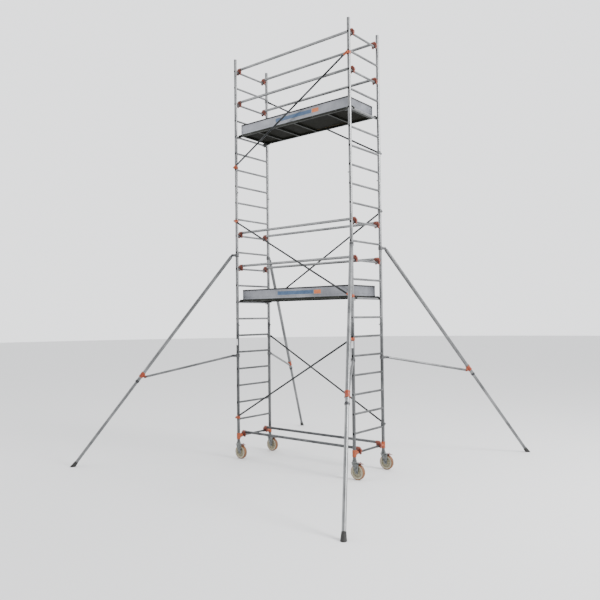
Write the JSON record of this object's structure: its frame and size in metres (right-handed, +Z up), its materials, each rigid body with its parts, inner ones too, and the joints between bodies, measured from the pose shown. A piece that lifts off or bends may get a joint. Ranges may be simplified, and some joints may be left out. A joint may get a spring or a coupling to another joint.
{
  "type": "mobile tower scaffold",
  "caption": "Narrow aluminium mobile tower scaffold on braked castors, with end frames, guardrails, diagonal braces, decks with toe boards and telescopic stabilisers.",
  "frame": {"origin": "on the ground, at the middle of the box round the whole tower with its stabilisers out", "axes": "+Z up; +X along the platforms towards the right end frame; +Y across the end frames towards the back"},
  "size_m": [4.8732, 4.9396, 6.015],
  "materials": {
    "clamp_casting": "sand cast, with black wing nuts",
    "dark_plastic": "moulded nylon",
    "deck_plywood": "phenolic faced birch plywood",
    "foot_rubber": "moulded",
    "frame_aluminium": "mill finish, lightly scuffed",
    "orange_fitting": "satin orange",
    "pedal_red": "worn red paint",
    "platform_aluminium": "mill finish",
    "rail_aluminium": "mill finish",
    "spigot_aluminium": "drawn",
    "stabiliser_aluminium": "mill finish",
    "toe_board_aluminium": "extruded, ribbed",
    "wheel_polyurethane": "nylon core with an amber polyurethane tyre",
    "zinc_steel": "zinc plated"
  },
  "bodies": {
    "tower": {"base_collars": "orange_fitting", "base_cross_tubes": "rail_aluminium", "base_rails": "rail_aluminium", "brace_hooks": "orange_fitting", "castor_stems": "zinc_steel", "diagonal_braces": "rail_aluminium", "frame_base_left": "frame_aluminium", "frame_base_right": "frame_aluminium", "frame_middle_left": "frame_aluminium", "frame_middle_right": "frame_aluminium", "frame_spigots": "spigot_aluminium", "frame_top_left": "frame_aluminium", "frame_top_right": "frame_aluminium", "guardrails": "rail_aluminium", "hatch_hinges": "zinc_steel", "locking_pins": "zinc_steel", "platform_claws": "platform_aluminium", "platform_deck_lower": "deck_plywood", "platform_deck_upper": "deck_plywood", "platform_frame_lower": "platform_aluminium", "platform_frame_upper": "platform_aluminium", "rail_hooks": "orange_fitting", "toe_boards_lower": "toe_board_aluminium", "toe_boards_upper": "toe_board_aluminium", "wind_locks": "dark_plastic"},
    "stabiliser_front_left": {"stabiliser_clamps_front_left": "clamp_casting", "stabiliser_slider_front_left": "orange_fitting", "stabiliser_tubes_front_left": "stabiliser_aluminium"},
    "stabiliser_leg_front_left": {"stabiliser_foot_front_left": "foot_rubber", "stabiliser_leg_front_left": "stabiliser_aluminium"},
    "castor_front_left": {"castor_fork_front_left": "zinc_steel"},
    "wheel_front_left": {"castor_wheel_front_left": "wheel_polyurethane"},
    "pedal_front_left": {"brake_pedal_front_left": "pedal_red"},
    "stabiliser_front_right": {"stabiliser_clamps_front_right": "clamp_casting", "stabiliser_slider_front_right": "orange_fitting", "stabiliser_tubes_front_right": "stabiliser_aluminium"},
    "stabiliser_leg_front_right": {"stabiliser_foot_front_right": "foot_rubber", "stabiliser_leg_front_right": "stabiliser_aluminium"},
    "castor_front_right": {"castor_fork_front_right": "zinc_steel"},
    "wheel_front_right": {"castor_wheel_front_right": "wheel_polyurethane"},
    "pedal_front_right": {"brake_pedal_front_right": "pedal_red"},
    "stabiliser_back_left": {"stabiliser_clamps_back_left": "clamp_casting", "stabiliser_slider_back_left": "orange_fitting", "stabiliser_tubes_back_left": "stabiliser_aluminium"},
    "stabiliser_leg_back_left": {"stabiliser_foot_back_left": "foot_rubber", "stabiliser_leg_back_left": "stabiliser_aluminium"},
    "castor_back_left": {"castor_fork_back_left": "zinc_steel"},
    "wheel_back_left": {"castor_wheel_back_left": "wheel_polyurethane"},
    "pedal_back_left": {"brake_pedal_back_left": "pedal_red"},
    "stabiliser_back_right": {"stabiliser_clamps_back_right": "clamp_casting", "stabiliser_slider_back_right": "orange_fitting", "stabiliser_tubes_back_right": "stabiliser_aluminium"},
    "stabiliser_leg_back_right": {"stabiliser_foot_back_right": "foot_rubber", "stabiliser_leg_back_right": "stabiliser_aluminium"},
    "castor_back_right": {"castor_fork_back_right": "zinc_steel"},
    "wheel_back_right": {"castor_wheel_back_right": "wheel_polyurethane"},
    "pedal_back_right": {"brake_pedal_back_right": "pedal_red"},
    "hatch_lower": {"platform_hatch_lower": "deck_plywood"},
    "hatch_upper": {"platform_hatch_upper": "deck_plywood"}
  },
  "joints": [
    {"name": "castor_swivel_front_left", "type": "hinge", "parent": "tower", "child": "castor_front_left", "pos_m": [-0.8816, -0.50017, 0.2387], "axis": [0, 0, 1], "continuous": true},
    {"name": "wheel_spin_front_left", "type": "hinge", "parent": "castor_front_left", "child": "wheel_front_left", "pos_m": [-0.83061, -0.50017, 0.1], "axis": [0, 1, 0], "continuous": true},
    {"name": "brake_pedal_front_left", "type": "hinge", "parent": "castor_front_left", "child": "pedal_front_left", "pos_m": [-0.80761, -0.50017, 0.216], "axis": [0, -1, 0], "range_deg": [0, 18]},
    {"name": "stabiliser_swing_front_left", "type": "hinge", "parent": "tower", "child": "stabiliser_front_left", "pos_m": [-0.8816, -0.50017, 1.527], "axis": [0, 0, 1], "range_deg": [-30, 30]},
    {"name": "leg_slide_front_left", "type": "slide", "parent": "stabiliser_front_left", "child": "stabiliser_leg_front_left", "axis": [-0.3864, -0.4621, -0.7983], "range_m": [-1.2, 0.25]},
    {"name": "castor_swivel_front_right", "type": "hinge", "parent": "tower", "child": "castor_front_right", "pos_m": [1.2084, -0.50017, 0.2387], "axis": [0, 0, 1], "continuous": true},
    {"name": "wheel_spin_front_right", "type": "hinge", "parent": "castor_front_right", "child": "wheel_front_right", "pos_m": [1.2594, -0.50017, 0.1], "axis": [0, 1, 0], "continuous": true},
    {"name": "brake_pedal_front_right", "type": "hinge", "parent": "castor_front_right", "child": "pedal_front_right", "pos_m": [1.28239, -0.50017, 0.216], "axis": [0, -1, 0], "range_deg": [0, 18]},
    {"name": "stabiliser_swing_front_right", "type": "hinge", "parent": "tower", "child": "stabiliser_front_right", "pos_m": [1.2084, -0.50017, 1.527], "axis": [0, 0, 1], "range_deg": [-30, 30]},
    {"name": "leg_slide_front_right", "type": "slide", "parent": "stabiliser_front_right", "child": "stabiliser_leg_front_right", "axis": [0.3078, -0.4983, -0.8105], "range_m": [-1.2, 0.25]},
    {"name": "castor_swivel_back_left", "type": "hinge", "parent": "tower", "child": "castor_back_left", "pos_m": [-0.8816, 0.19983, 0.2387], "axis": [0, 0, 1], "continuous": true},
    {"name": "wheel_spin_back_left", "type": "hinge", "parent": "castor_back_left", "child": "wheel_back_left", "pos_m": [-0.83061, 0.19983, 0.1], "axis": [0, 1, 0], "continuous": true},
    {"name": "brake_pedal_back_left", "type": "hinge", "parent": "castor_back_left", "child": "pedal_back_left", "pos_m": [-0.80761, 0.19983, 0.216], "axis": [0, -1, 0], "range_deg": [0, 18]},
    {"name": "stabiliser_swing_back_left", "type": "hinge", "parent": "tower", "child": "stabiliser_back_left", "pos_m": [-0.8816, 0.19983, 1.527], "axis": [0, 0, 1], "range_deg": [-30, 30]},
    {"name": "leg_slide_back_left", "type": "slide", "parent": "stabiliser_back_left", "child": "stabiliser_leg_back_left", "axis": [-0.2681, 0.5354, -0.8009], "range_m": [-1.2, 0.25]},
    {"name": "castor_swivel_back_right", "type": "hinge", "parent": "tower", "child": "castor_back_right", "pos_m": [1.2084, 0.19983, 0.2387], "axis": [0, 0, 1], "continuous": true},
    {"name": "wheel_spin_back_right", "type": "hinge", "parent": "castor_back_right", "child": "wheel_back_right", "pos_m": [1.2594, 0.19983, 0.1], "axis": [0, 1, 0], "continuous": true},
    {"name": "brake_pedal_back_right", "type": "hinge", "parent": "castor_back_right", "child": "pedal_back_right", "pos_m": [1.28239, 0.19983, 0.216], "axis": [0, -1, 0], "range_deg": [0, 18]},
    {"name": "stabiliser_swing_back_right", "type": "hinge", "parent": "tower", "child": "stabiliser_back_right", "pos_m": [1.2084, 0.19983, 1.527], "axis": [0, 0, 1], "range_deg": [-30, 30]},
    {"name": "leg_slide_back_right", "type": "slide", "parent": "stabiliser_back_right", "child": "stabiliser_leg_back_right", "axis": [0.2947, 0.5543, -0.7784], "range_m": [-1.2, 0.25]},
    {"name": "hatch_hinge_lower", "type": "hinge", "parent": "tower", "child": "hatch_lower", "pos_m": [0.49339, 0.09033, 2.3733], "axis": [-1, 0, 0], "range_deg": [0, 88]},
    {"name": "hatch_hinge_upper", "type": "hinge", "parent": "tower", "child": "hatch_upper", "pos_m": [0.49339, 0.09033, 4.8733], "axis": [-1, 0, 0], "range_deg": [0, 88]}
  ]
}
